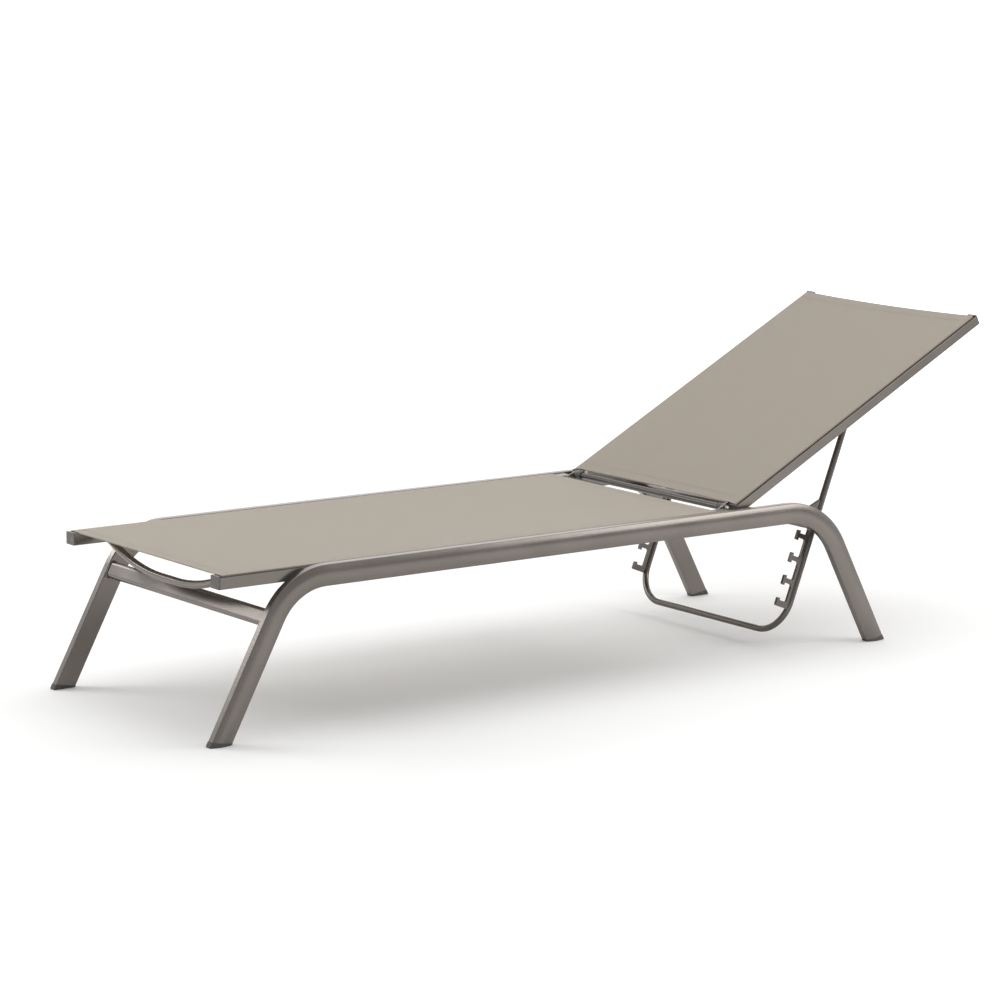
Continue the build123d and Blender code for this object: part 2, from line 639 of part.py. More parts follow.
def support_loop():
    """U-shaped tube, its arms beside the backrest rails."""
    points = [
        (0, -ARM_Y, ARM_TOP),
        (0, -ARM_Y, -ARM_LENGTH),
        (0, ARM_Y, -ARM_LENGTH),
        (0, ARM_Y, ARM_TOP),
    ]
    path = FilletPolyline(*points, radius=ARM_CORNER_RADIUS)
    loop = pipe(path, ARM_RADIUS, ARM_WALL)
    end = ARM_Y + ARM_RADIUS + OVERRUN
    loop -= rod(PIVOT_BOLT_RADIUS + FIT_GAP, (0, -end, 0), (0, end, 0))
    return SUPPORT * loop


def arm_plugs():
    """Plastic plugs in the open upper ends of the arms."""
    plugs = []
    for side in SIDES.values():
        y = side * ARM_Y
        stem = rod(ARM_RADIUS - ARM_WALL - FIT_GAP, (0, y, ARM_TOP), (0, y, ARM_TOP - ARM_PLUG / 2))
        plugs.append(stem + rod(ARM_RADIUS, (0, y, ARM_TOP), (0, y, ARM_TOP + ARM_PLUG_FLANGE)))
    return SUPPORT * group(plugs)


def rack_outline():
    """One rack, X out from the arm's centreline, Y along the arm from the pivot."""
    points = [(RACK_BACK, HOOK_START), (TOOTH_OUTER, HOOK_TOP), (TOOTH_OUTER, HOOK_END)]
    half_slot = (TOOTH_PITCH - TOOTH_NECK) / 2
    points += [(TOOTH_INNER, HOOK_END), (TOOTH_INNER, slot_middle(0) - half_slot)]
    points += [(RACK_SPINE, slot_middle(0) - half_slot)]
    for i in range(TOOTH_COUNT):
        middle = TOOTH_FIRST + TOOTH_PITCH * i
        points += [
            (RACK_SPINE, middle - TOOTH_NECK / 2),
            (TOOTH_INNER, middle - TOOTH_NECK / 2),
            (TOOTH_INNER, middle - TOOTH_LENGTH / 2),
            (TOOTH_OUTER, middle - TOOTH_LENGTH / 2),
            (TOOTH_OUTER, middle + TOOTH_LENGTH / 2),
            (TOOTH_INNER, middle + TOOTH_LENGTH / 2),
            (TOOTH_INNER, middle + TOOTH_NECK / 2),
            (RACK_SPINE, middle + TOOTH_NECK / 2),
        ]
    points += [
        (RACK_SPINE, RACK_END - TOE_NECK),
        (TOOTH_INNER, RACK_END - TOE_NECK),
        (TOOTH_INNER, RACK_END - TOE_LENGTH),
        (TOOTH_OUTER, RACK_END - TOE_LENGTH),
        (TOOTH_OUTER, RACK_END),
        (RACK_BACK, RACK_END),
    ]
    face = make_face(Polyline(*points, close=True))
    heads = face.vertices().filter_by_position(Axis.X, TOOTH_OUTER, TOOTH_OUTER)
    face = fillet(heads, RACK_HEAD_RADIUS)
    roots = face.vertices().filter_by_position(Axis.X, RACK_SPINE, RACK_SPINE)
    return fillet(roots, RACK_ROOT_RADIUS)


def rack(side):
    """Toothed plate on the front of an arm."""
    plane = Plane(origin=(0, side * ARM_Y + RACK_THICK / 2, 0), x_dir=(-1, 0, 0), z_dir=(0, -1, 0))
    return SUPPORT * extrude(plane * rack_outline(), amount=RACK_THICK)


def support_pivot_bolts():
    """Shoulder bolts through the arms into the backrest rails."""
    inner = ARM_Y - ARM_RADIUS
    end = BACK_RAIL_INNER_Y + RAIL_WALL + PIVOT_NUT_LENGTH + PIVOT_BOLT_STICKOUT
    x, z = PIVOT_ALONG, -PIVOT_DROP
    bolts = []
    for side in SIDES.values():
        face = side * (inner - SEAT_GAP)
        head = rod(PIVOT_BOLT_HEAD_RADIUS, (x, face - side * PIVOT_BOLT_HEAD, z), (x, face, z))
        bolts.append(head + rod(PIVOT_BOLT_RADIUS, (x, face, z), (x, side * end, z)))
    return BACKREST * group(bolts)


def support_spacers():
    """Plastic spacers between the arms and the backrest rails."""
    x, z = PIVOT_ALONG, -PIVOT_DROP
    bore = PIVOT_BOLT_RADIUS + FIT_GAP
    start = ARM_Y + ARM_RADIUS + SEAT_GAP
    return BACKREST * group(
        ring(SPACER_RADIUS, bore, (x, side * start, z), (x, side * BACK_RAIL_INNER_Y, z))
        for side in SIDES.values()
    )


def support_pivot_nuts():
    """Nuts on the pivot bolts, inside the backrest rails."""
    x, z = PIVOT_ALONG, -PIVOT_DROP
    bore = PIVOT_BOLT_RADIUS + FIT_GAP / 2
    start = BACK_RAIL_INNER_Y + RAIL_WALL
    end = start + PIVOT_NUT_LENGTH
    return BACKREST * group(
        hexagon(PIVOT_NUT_RADIUS, bore, (x, side * start, z), (x, side * end, z))
        for side in SIDES.values()
    )


os.makedirs("parts", exist_ok=True)

for name, side in SIDES.items():
    save(f"side_frame_{name}", side_frame(side))
    save(f"front_foot_cap_{name}", foot_cap(side, True))
    save(f"rear_foot_cap_{name}", foot_cap(side, False))
    save(f"seat_rail_{name}", seat_rail(side))
    save(f"seat_foot_cap_{name}", seat_cap(side, True))
    save(f"seat_head_cap_{name}", seat_cap(side, False))
    seat_spline = spline(side, INNER_Y, SEAT_TOP, SEAT_SLING_FOOT_X, SEAT_SLING_HEAD_X)
    save(f"seat_spline_{name}", seat_spline)
    save(f"hinge_bracket_{name}", hinge_bracket(side))
    save(f"hinge_ear_{name}", hinge_ear(side))
    save(f"hinge_collar_{name}", hinge_collar(side))
    save(f"backrest_rail_{name}", backrest_rail(side))
    save(f"backrest_head_cap_{name}", backrest_cap(side, True))
    save(f"backrest_lower_cap_{name}", backrest_cap(side, False))
    back_spline = spline(side, BACK_OUTER_Y, BACK_RAIL_TOP, BACK_SLING_START, BACK_SLING_END)
    save(f"backrest_spline_{name}", BACKREST * back_spline)
    save(f"support_rack_{name}", rack(side))

save("front_cross_tube", front_cross_tube())
BOW_END_Z = SEAT_TOP - BOW_CENTRE_DEPTH
save("foot_bow_bar", bow_bar(FOOT_BOW_X, BOW_END_Z, SEAT_RAIL_INNER_Y, BOW_DROP))
save("head_bow_bar", bow_bar(HEAD_BOW_X, BOW_END_Z, SEAT_RAIL_INNER_Y, BOW_DROP))
save("catch_bar", catch_bar())
save("seat_rail_bolts", seat_rail_bolts())
save("hinge_bracket_bolts", hinge_bracket_bolts())
save("seat_sling", sling(INNER_Y, SEAT_TOP, SEAT_SLING_FOOT_X, SEAT_SLING_HEAD_X))

save("backrest_head_bar", backrest_head_bar())
save("hinge_tube", hinge_tube())
save("hinge_ear_bolts", hinge_ear_bolts())
save("hinge_washers", hinge_washers())
save("hinge_pins", hinge_pins())
save("hinge_nuts", hinge_nuts())
save("backrest_sling", BACKREST * backrest_sling())

save("support_loop", support_loop())
save("arm_plugs", arm_plugs())
save("support_pivot_bolts", support_pivot_bolts())
save("support_spacers", support_spacers())
save("support_pivot_nuts", support_pivot_nuts())
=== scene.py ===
# %% [markdown]
# # A sun lounger with stretched slings
#
# The lounger arrives as a finished frame: bent tubes, rails, a hinge and a toothed support, each
# a node at its real place in metres. This lesson dresses it. It stretches cloth over the rails,
# adds the small things that a maker adds by hand, such as weld beads and stitches, and then
# coats, lights and photographs the whole.

# %% Load the frame
import json
from math import cos, degrees, pi, radians, sin, sqrt

import bmesh
import bpy
import numpy as np
from mathutils import Matrix, Vector


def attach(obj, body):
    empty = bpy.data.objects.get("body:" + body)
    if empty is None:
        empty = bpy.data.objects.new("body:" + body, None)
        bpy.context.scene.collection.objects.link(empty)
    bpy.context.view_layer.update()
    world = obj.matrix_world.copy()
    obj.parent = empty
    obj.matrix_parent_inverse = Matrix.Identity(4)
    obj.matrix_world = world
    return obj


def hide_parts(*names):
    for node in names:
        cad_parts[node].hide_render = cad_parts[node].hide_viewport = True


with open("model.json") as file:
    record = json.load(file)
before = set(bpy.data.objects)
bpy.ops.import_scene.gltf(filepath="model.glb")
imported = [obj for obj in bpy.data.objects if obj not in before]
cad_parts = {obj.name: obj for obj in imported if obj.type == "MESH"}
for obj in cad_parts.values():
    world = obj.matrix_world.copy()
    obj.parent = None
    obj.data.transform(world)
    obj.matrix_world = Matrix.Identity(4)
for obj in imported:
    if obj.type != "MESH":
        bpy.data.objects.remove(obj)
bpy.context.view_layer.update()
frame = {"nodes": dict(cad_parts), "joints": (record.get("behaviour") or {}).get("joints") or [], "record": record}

record = frame["record"]
nodes = frame["nodes"]
MM = 0.001

# %% [markdown]
# ## The camera
#
# A long lens far away keeps the near and far rails almost parallel, which is how catalogues show
# furniture. The place, the heading and the tilt below were found by matching corners of the
# frame to the photograph. A camera looks along its own -Z, so its matrix is built from the
# directions right, up and backwards.

# %% Camera
CAMERA_PLACE = Vector((-4.3277, -5.7124, 1.5856))
CAMERA_HEADING = radians(53.46)  # from +X towards +Y
CAMERA_DOWN = radians(9.98)
CAMERA_ROLL = radians(0.39)
FOCAL_WIDTHS = 3.54357  # focal length over the width of the picture
SENSOR_MM = 36.0

forward = Vector(
    (
        cos(CAMERA_HEADING) * cos(CAMERA_DOWN),
        sin(CAMERA_HEADING) * cos(CAMERA_DOWN),
        -sin(CAMERA_DOWN),
    )
)
level_right = forward.cross(Vector((0, 0, 1))).normalized()
level_up = level_right.cross(forward)
right = level_right * cos(CAMERA_ROLL) + level_up * sin(CAMERA_ROLL)
up = level_up * cos(CAMERA_ROLL) - level_right * sin(CAMERA_ROLL)

camera_data = bpy.data.cameras.new("camera")
camera_data.sensor_fit = "HORIZONTAL"
camera_data.sensor_width = SENSOR_MM
camera_data.lens = FOCAL_WIDTHS * SENSOR_MM
camera_data.clip_end = 200
camera = bpy.data.objects.new("camera", camera_data)
turn = Matrix((right, up, -forward)).transposed().to_4x4()
camera.matrix_world = Matrix.Translation(CAMERA_PLACE) @ turn
bpy.context.scene.collection.objects.link(camera)
bpy.context.scene.camera = camera
print("camera", round(camera_data.lens), "mm at", [round(v, 2) for v in CAMERA_PLACE])

# %% [markdown]
# ## Writing shaders as sums
#
# A material is a little calculation that Blender repeats at every point of a surface. Wiring its
# nodes one by one hides that, so the class below lets ordinary Python operators do the wiring:
# each sum adds one Math node. Every other node comes from one method, `Finish.node`.

# %% Shader sums
class Shade:
    """A number, colour or direction that changes over a surface."""

    def __init__(self, finish, socket):
        self.finish = finish
        self.socket = socket

    def math(self, operation, *values):
        return self.finish.node("ShaderNodeMath", dict(enumerate(values)), operation=operation)

    def __add__(self, other):
        return self.math("ADD", self, other)

    def __radd__(self, other):
        return self.math("ADD", other, self)

    def __sub__(self, other):
        return self.math("SUBTRACT", self, other)

    def __rsub__(self, other):
        return self.math("SUBTRACT", other, self)

    def __mul__(self, other):
        return self.math("MULTIPLY", self, other)

    def __rmul__(self, other):
        return self.math("MULTIPLY", other, self)

    def __gt__(self, other):
        return self.math("GREATER_THAN", self, other)

    def __abs__(self):
        return self.math("ABSOLUTE", self)

    def wave(self):
        return self.math("SINE", self)


class Finish:
    """A material, and the one way to add nodes to it."""

    def __init__(self, name, **sockets):
        self.material = bpy.data.materials.new(name)
        self.material.use_nodes = True
        self.tree = self.material.node_tree
        self.shader = self.tree.nodes["Principled BSDF"]
        self.feed(self.shader, sockets)

    def feed(self, node, sockets):
        for key, value in sockets.items():
            if isinstance(key, str) and key not in node.inputs:
                key = key.replace("_", " ")
            if isinstance(value, Shade):
                self.tree.links.new(value.socket, node.inputs[key])
            else:
                node.inputs[key].default_value = value

    def node(self, kind, sockets=None, output=0, **settings):
        """Adds a node: its settings first, then the values or links of its sockets."""
        node = self.tree.nodes.new(kind)
        for key, value in settings.items():
            setattr(node, key, value)
        self.feed(node, sockets or {})
        return Shade(self, node.outputs[output])

    def place(self):
        """The point of the piece itself, in metres, which stays with it when it moves."""
        return self.node("ShaderNodeTexCoord", output="Object")

    def noise(self, scale, detail=2.0, place=None):
        sockets = {"Vector": place or self.place(), "Scale": scale, "Detail": detail}
        return self.node("ShaderNodeTexNoise", sockets, output="Fac")

    def blend(self, share, first, second):
        """Mixes two colours."""
        sockets = {0: share, 6: first, 7: second}
        return self.node("ShaderNodeMix", sockets, output=2, data_type="RGBA")

    def clamp(self, value, low, high, to_low=0.0, to_high=1.0):
        """Stretches low to high over to_low to to_high, and holds it there beyond them."""
        sockets = {"Value": value, 1: low, 2: high, 3: to_low, 4: to_high}
        return self.node("ShaderNodeMapRange", sockets)

    def relief(self, height, depth, strength=1.0):
        """Bumps of a real depth, in metres, fed to the shader's Normal."""
        sockets = {"Height": height, "Distance": depth, "Strength": strength}
        bump = self.node("ShaderNodeBump", sockets, output="Normal")
        self.feed(self.shader, {"Normal": bump})


def shade_of(colour, factor):
    """A colour made lighter or darker."""
    return (*[min(1.0, c * factor) for c in colour[:3]], 1.0)


# %% [markdown]
# ## Powder coat
#
# The tubes are aluminium, sprayed with dry powder and baked. The powder melts into a skin with
# a fine orange peel and a few darker grains, and the skin is a little duller and paler in some
# places than in others. Three noises of different grain size give that: the two fine ones lift
# the surface and make the grains, and the broad one shifts the colour and the gloss.

# %% Coated metal
TAUPE = (0.238, 0.213, 0.195, 1.0)
PEEL_SCALE = 900.0  # lumps of about a millimetre
GRAIN_SCALE = 4200.0
CLOUD_SCALE = 9.0
COAT_GLOSS = (0.19, 0.24)  # roughness where the skin is glossiest and dullest
PEEL_DEPTH = 0.12 * MM
# Shares of the side frames' colour for the support and for the bar at the hinge: painted shade, darkest for the
# bar under the hem.
SUPPORT_PAINTED_SHADE = 0.7  # of the side frames' colour
HINGE_PAINTED_SHADE = 0.48


def coated_metal(name, colour):
    finish = Finish(name, Metallic=0.9)
    peel = finish.noise(PEEL_SCALE, 3.0)
    grain = finish.noise(GRAIN_SCALE, 1.0)
    cloud = finish.noise(CLOUD_SCALE, 4.0)
    speck = finish.clamp(grain, 0.62, 0.72)
    tone = finish.clamp(cloud, 0.3, 0.7)
    base = finish.blend(tone, shade_of(colour, 0.93), shade_of(colour, 1.07))
    base = finish.blend(speck * 0.35, base, shade_of(colour, 0.55))
    roughness = finish.clamp(cloud, 0.3, 0.7, *COAT_GLOSS) + peel * 0.05
    finish.feed(finish.shader, {"Base Color": base, "Roughness": roughness})
    finish.relief(peel + grain * 0.3, PEEL_DEPTH, 0.55)
    return finish.material


# The same coat three times: the copies for the support and for the hinge bar are darker, which is painted shade.
coat = coated_metal("coated_tube", TAUPE)
support_coat_painted_shade = coated_metal("coated_support_painted_shade", shade_of(TAUPE, SUPPORT_PAINTED_SHADE))
hinge_coat_painted_shade = coated_metal("coated_hinge_painted_shade", shade_of(TAUPE, HINGE_PAINTED_SHADE))
print("coated metal made, in three batches")

# %% [markdown]
# ## Moulded plastic and zinc
#
# Caps, collars and plugs come out of a mould whose walls were spark-eroded, which leaves a fine
# even grain and hardly any gloss. Screws, pins and nuts are zinc plated: bright, slightly
# yellow in places, and streaked from the barrel that they were tumbled in.

# %% Plastic and zinc
FOOT_COLOUR = (0.1, 0.092, 0.085, 1.0)
CAP_COLOUR = (0.17, 0.155, 0.142, 1.0)
SPLINE_COLOUR = (0.06, 0.052, 0.047, 1.0)
ZINC = (0.62, 0.6, 0.56, 1.0)
MOULD_GRAIN = 2600.0
MOULD_DEPTH = 0.08 * MM
STREAK_SCALE = 700.0
STREAK_DEPTH = 0.05 * MM


def moulded_plastic(name, colour):
    finish = Finish(name, Specular_IOR_Level=0.4)
    grain = finish.noise(MOULD_GRAIN, 2.0)
    scuff = finish.clamp(finish.noise(60.0, 5.0), 0.55, 0.75)
    base = finish.blend(scuff, shade_of(colour, 1.0), shade_of(colour, 1.5))
    roughness = finish.clamp(grain, 0.3, 0.7, 0.5, 0.62)
    finish.feed(finish.shader, {"Base Color": base, "Roughness": roughness})
    finish.relief(grain, MOULD_DEPTH, 0.5)
    return finish.material


def plated_steel(name, colour):
    finish = Finish(name, Metallic=0.95)
    streak = finish.noise(STREAK_SCALE, 4.0)
    tint = finish.clamp(finish.noise(120.0, 2.0), 0.35, 0.7)
    warm = (colour[0], colour[1] * 0.95, colour[2] * 0.85, 1.0)
    base = finish.blend(tint, colour, warm)
    roughness = finish.clamp(streak, 0.3, 0.7, 0.24, 0.42)
    finish.feed(finish.shader, {"Base Color": base, "Roughness": roughness})
    finish.relief(streak, STREAK_DEPTH, 0.4)
    return finish.material


foot_plastic = moulded_plastic("foot_plastic", FOOT_COLOUR)
cap_plastic = moulded_plastic("cap_plastic", CAP_COLOUR)
spline_plastic = moulded_plastic("spline_plastic", SPLINE_COLOUR)
zinc = plated_steel("zinc_plate", ZINC)
print("plastic and zinc made")

# %% [markdown]
# ## Dressing the frame
#
# Every node of the frame already names its material slot, so one loop can coat them all. The support and its racks
# look a little darker than the side frames, and the bar at the hinge, under the hem, looks darkest. So each of
# them gets a darker copy of the same coat, which is painted shade.

# %% Coat every node
SLOT_FINISHES = {
    "coated_tube": coat,
    "dark_plastic": foot_plastic,
    "spline_plastic": spline_plastic,
    "steel": zinc,
    "sling_cloth": spline_plastic,
}


def dress(piece, material):
    piece.data.materials.clear()
    piece.data.materials.append(material)


for part in record["subparts"]:
    dress(nodes[part["node"]], SLOT_FINISHES[part["material_slot"]])
for name in ("support_loop", "support_rack_left", "support_rack_right"):
    dress(nodes[name], support_coat_painted_shade)
dress(nodes["hinge_tube"], hinge_coat_painted_shade)
for word in ("left", "right"):
    dress(nodes[f"seat_foot_cap_{word}"], cap_plastic)
    dress(nodes[f"backrest_head_cap_{word}"], cap_plastic)
print("coated", len(record["subparts"]), "nodes")

# %% [markdown]
# ## Woven sling cloth
#
# The cloth is woven from plastic-covered polyester yarn. Warp and weft cross over and under
# each other about every millimetre, and each crossing catches the light as a small pillow. The
# warp is paler than the weft, so the cloth looks mottled from close by and plain from afar. A
# weave is easy as sums: two sine waves make the pillows, and the sign of their product says
# which yarn is on top. The backrest's cloth is tilted, so the weave's axes are tilted with it.

# %% Sling cloth
CLOTH = (0.45, 0.4, 0.335, 1.0)
YARN = 1.3 * MM  # from one yarn to the next
YARN_DEPTH = 0.22 * MM


def woven(name, tilt, colour):
    finish = Finish(name, Specular_IOR_Level=0.2)
    level = finish.node(
        "ShaderNodeVectorRotate", {"Vector": finish.place(), "Angle": tilt}, rotation_type="Y_AXIS"
    )
    along = finish.node("ShaderNodeSeparateXYZ", {"Vector": level}, output="X")
    across = finish.node("ShaderNodeSeparateXYZ", {"Vector": level}, output="Y")
    warp = (across * (pi / YARN)).wave()
    weft = (along * (pi / YARN)).wave()
    warp_on_top = (warp * weft) > 0.0
    height = warp_on_top * abs(warp) + (1 - warp_on_top) * abs(weft)
    pillow = finish.clamp(height, 0.0, 0.8)
    yarns = finish.blend(warp_on_top, shade_of(colour, 0.9), shade_of(colour, 1.1))
    shadow = finish.blend(pillow, shade_of(colour, 0.55), yarns)
    slub = finish.clamp(finish.noise(18.0, 5.0, level), 0.3, 0.7)
    base = finish.blend(slub * 0.12, shadow, shade_of(colour, 0.8))
    roughness = finish.clamp(pillow, 0.0, 1.0, 0.75, 0.55)
    finish.feed(finish.shader, {"Base Color": base, "Roughness": roughness})
    finish.relief(height, YARN_DEPTH, 0.8)
    return finish.material


# %% [markdown]
# ## Two sets of axes
#
# The seat is level and the backrest is tilted, but both slings are made in the same way. So
# each gets its own axes: X along its rails, Y across and Z straight up from the cloth. A matrix
# turns them into the lounger's axes. The hinge tells where the backrest's axes start, and its
# lowest position, which is flat, tells how far it is tilted now.

# %% Axes of the slings
hinge = next(j for j in frame["joints"] if j["name"] == "backrest_tilt")
back_tilt = radians(-hinge["range_deg"][0])
SEAT_AXES = Matrix.Identity(4)
BACK_AXES = Matrix.Translation(Vector(hinge["pos_m"])) @ Matrix.Rotation(-back_tilt, 4, "Y")


def measured(node, axes):
    """Lowest and highest corner of a node along a sling's own axes."""
    inverse = axes.inverted()
    corners = list(zip(*[inverse @ v.co for v in nodes[node].data.vertices]))
    return Vector(map(min, corners)), Vector(map(max, corners))


print("backrest tilted by", round(degrees(back_tilt), 1), "degrees")

# %% [markdown]
# ## Stretching the slings
#
# Each sling is one rectangle of cloth. Its long edges are sewn round a rod that is slid into
# the grooves of the rails, so the cloth comes out of the groove, turns over its inner lip, lies
# on the rail and then spans the gap with a slight sag. The short edges are hemmed: folded under
# and stitched. They pull in a little towards the middle.
#
# A grid of points can follow all this. The points run across the sling along the line that a
# cut through the cloth would show, and that line is repeated along the rails. Moving the grid
# half a thickness each way along its normals gives the top and the bottom of the cloth, and a
# rounded edge joins them, so that the result is a closed piece of real thickness.

# %% Cloth sheet
CLOTH_THICK = 1.2 * MM
CLOTH_CLEAR = 0.3 * MM  # above the rail
SLOT_INNER = 6.2 * MM  # from the outer face of the rail to the groove's inner lip
TURN_RADIUS = 1.1 * MM
TUCK = 2.2 * MM  # how far the edge goes down into the groove
RAIL_CLEAR = 0.2 * MM  # from a rail's end to the cloth's edge, at least
HEM = 26 * MM
HEM_EXTRA = 1.1 * MM  # thickness of the fold under a hem
HEM_LINES = (0, 0.8, 2, 4, 7, 12, 18, 24, 26, 28, 34, 44)  # rows of points near an end, in mm
ROWS_BETWEEN = 108
SAG_REACH = 0.22  # share of the length over which an end's sag turns into the middle's


def smooth(value, low, high):
    """0 below low, 1 above high and a soft step between them."""
    share = np.clip((value - low) / (high - low), 0.0, 1.0)
    return share * share * (3.0 - 2.0 * share)


def cloth_cut(half_slot, rail_top, inner_edge):
    """Half the line of a cut across the cloth: (across, height, share of the sag)."""
    span = inner_edge - 1.5 * MM
    middle = np.concatenate([np.linspace(0, 0.8, 22), np.linspace(0.8, 1.0, 16)[1:]]) * span
    level = rail_top + CLOTH_CLEAR + CLOTH_THICK / 2
    cut = [(y, level, 1 - (y / span) ** 2) for y in middle]
    turn_y = half_slot + CLOTH_THICK / 2 + 0.05 * MM - TURN_RADIUS
    cut += [(y, level, 0.0) for y in np.linspace(span, turn_y, 9)[1:]]
    for i in range(1, 7):
        angle = i * pi / 12
        height = level - TURN_RADIUS * (1 - cos(angle))
        cut.append((turn_y + TURN_RADIUS * sin(angle), height, 0.0))
    end_y, end_height = cut[-1][0], cut[-1][1]
    cut += [(end_y, end_height - TUCK * i / 3, 0.0) for i in range(1, 4)]
    return np.array(cut)


def cloth_points(cut, start, end, pull, sag, end_sag, ear):
    """The middle surface of a sling: rows from end to end, each of points across the cloth."""
    across = np.concatenate([-cut[:0:-1, 0], cut[:, 0]])
    height = np.concatenate([cut[:0:-1, 1], cut[:, 1]])
    sagging = np.concatenate([cut[:0:-1, 2], cut[:, 2]])
    ends = np.array(HEM_LINES) * MM / (end - start)
    inner = np.linspace(ends[-1], 1 - ends[-1], ROWS_BETWEEN + 2)[1:-1]
    shares = np.concatenate([ends, inner, 1 - ends[::-1]])
    width = across.max()
    first = start + pull[0] * (1 - (across / width) ** 2)
    last = end - pull[1] * (1 - (across / width) ** 2)
    rows = np.empty((len(shares), len(across), 3))
    rows[..., 0] = first + (last - first) * shares[:, None]
    rows[..., 1] = across
    near_end = 1 - smooth(np.minimum(shares, 1 - shares), 0.0, SAG_REACH)
    depth = sag + (end_sag - sag) * near_end
    rows[..., 2] = height - depth[:, None] * sagging
    if ear:
        lift = ear.top + ear.slope * rows[..., 0] - (height.max() - CLOTH_THICK / 2)
        off = np.maximum(0.0, np.abs(np.abs(across) - ear.middle) - ear.half)
        rows[..., 2] += np.maximum(lift, 0.0) * (1 - smooth(off, 0.0, EAR_SPREAD))
    return rows, sagging


def cloth_mesh(name, rows, under, axes):
    """A closed sheet round a grid of points. Under adds thickness below, point by point."""
    along = np.gradient(rows, axis=0)
    across = np.gradient(rows, axis=1)
    normal = np.cross(along, across)
    normal /= np.linalg.norm(normal, axis=2)[..., None]
    half = CLOTH_THICK / 2
    top = rows + normal * half
    bottom = rows - normal * (half + under[..., None])
    count, width = rows.shape[:2]
    index = np.arange(count * width).reshape(count, width)
    rim = np.concatenate([index[0, :-1], index[:-1, -1], index[-1, :0:-1], index[:0:-1, 0]])
    points = np.concatenate([top.reshape(-1, 3), bottom.reshape(-1, 3)])
    middle = (points[rim] + points[rim + count * width]) / 2
    step = np.roll(middle, -1, axis=0) - np.roll(middle, 1, axis=0)
    out = np.cross(step, normal.reshape(-1, 3)[rim])
    out /= np.linalg.norm(out, axis=1)[:, None]
    centre = rows.reshape(-1, 3).mean(axis=0)
    if np.dot(out[0], middle[0] - centre) < 0:
        out = -out
    points = np.concatenate([points, middle + out * half * 0.6])
    faces = []
    for i in range(count - 1):
        for j in range(width - 1):
            a, b, c, d = index[i, j], index[i + 1, j], index[i + 1, j + 1], index[i, j + 1]
            faces.append((a, b, c, d))
            faces.append(tuple(v + count * width for v in (d, c, b, a)))
    mids = np.arange(len(rim)) + 2 * count * width
    for i, corner in enumerate(rim):
        after = rim[(i + 1) % len(rim)]
        mid, mid_after = mids[i], mids[(i + 1) % len(rim)]
        faces.append((corner, after, mid_after, mid))
        faces.append((mid, mid_after, after + count * width, corner + count * width))
    matrix = np.array(axes)
    points = points @ matrix[:3, :3].T + matrix[:3, 3]
    mesh = bpy.data.meshes.new(name)
    mesh.from_pydata([tuple(p) for p in points], [], [tuple(int(v) for v in f) for f in faces])
    mesh.validate()
    mesh.update()
    return mesh


def add_piece(name, mesh, material, body):
    """A finished mesh becomes a piece of the lounger that rides on a body."""
    bm = bmesh.new()
    bm.from_mesh(mesh)
    bmesh.ops.recalc_face_normals(bm, faces=bm.faces)
    bm.to_mesh(mesh)
    bm.free()
    for face in mesh.polygons:
        face.use_smooth = True
    piece = bpy.data.objects.new(name, mesh)
    bpy.context.scene.collection.objects.link(piece)
    piece.data.materials.append(material)
    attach(piece, body)
    return piece


# %% [markdown]
# The plates that carry the hinge stand a little above the backrest's rails, and the lower corners
# of the cloth are stretched over them. The upper edge of a plate is a straight line between its
# two round ends. It is found from the plate's own points: a rough guess of its slope is enough to
# pick the point that stands out most near each end, and the line goes through those two.

# %% The edge that lifts the cloth
EAR_SPREAD = 14 * MM  # how far beside a plate the cloth is still lifted
EAR_CLEAR = 0.25 * MM
EAR_FALL = 0.277  # rough slope of the edge
EAR_TAIL = 30 * MM  # points further along than this belong to the far end


class Edge:
    """A straight edge: its height is top + slope times the distance along the rails."""

    def __init__(self, top, slope, middle, half):
        self.top, self.slope, self.middle, self.half = top, slope, middle, half


def ear_edge():
    """The upper edge of a hinge plate, with the plate's middle and half its thickness."""
    inverse = BACK_AXES.inverted()
    points = [inverse @ v.co for v in nodes["hinge_ear_right"].data.vertices]
    ys = [abs(p.y) for p in points]
    near = max((p for p in points if p.z > 0 and p.x > 0), key=lambda p: p.z + EAR_FALL * p.x)
    far = max((p for p in points if p.x > EAR_TAIL), key=lambda p: p.z + EAR_FALL * p.x)
    slope = (far.z - near.z) / (far.x - near.x)
    top = near.z - slope * near.x + EAR_CLEAR
    print("ear edge", round(top / MM, 2), "mm at the axis, slope", round(slope, 3))
    return Edge(top, slope, (min(ys) + max(ys)) / 2, (max(ys) - min(ys)) / 2)


# %% The two slings
slings = {}


def stretch_sling(name, body, axes, node, rail, material, pull, sag, end_sag, ear=None):
    low, high = measured(node, axes)
    rail_low, rail_high = measured(rail, axes)
    low.x = max(low.x, rail_low.x + RAIL_CLEAR)
    half_slot = -rail_low.y - SLOT_INNER
    cut = cloth_cut(half_slot, rail_high.z, -rail_high.y)
    rows, sagging = cloth_points(cut, low.x, high.x, pull, sag, end_sag, ear)
    from_end = np.minimum(rows[..., 0] - rows[0, :, 0], rows[-1, :, 0] - rows[..., 0])
    free = smooth(sagging, 0.02, 0.06)
    under = HEM_EXTRA * (1 - smooth(from_end, HEM, HEM + 2 * MM)) * free
    mesh = cloth_mesh(name, rows, under, axes)
    piece = add_piece(name, mesh, material, body)
    line = np.diff(cut[:, :2], axis=0)
    width = 2 * float(np.linalg.norm(line, axis=1).sum())
    slings[name] = (piece, rows, axes, width, high.x - low.x)
    print(name, "width", round(width, 3), "length", round(high.x - low.x, 3))
    return piece


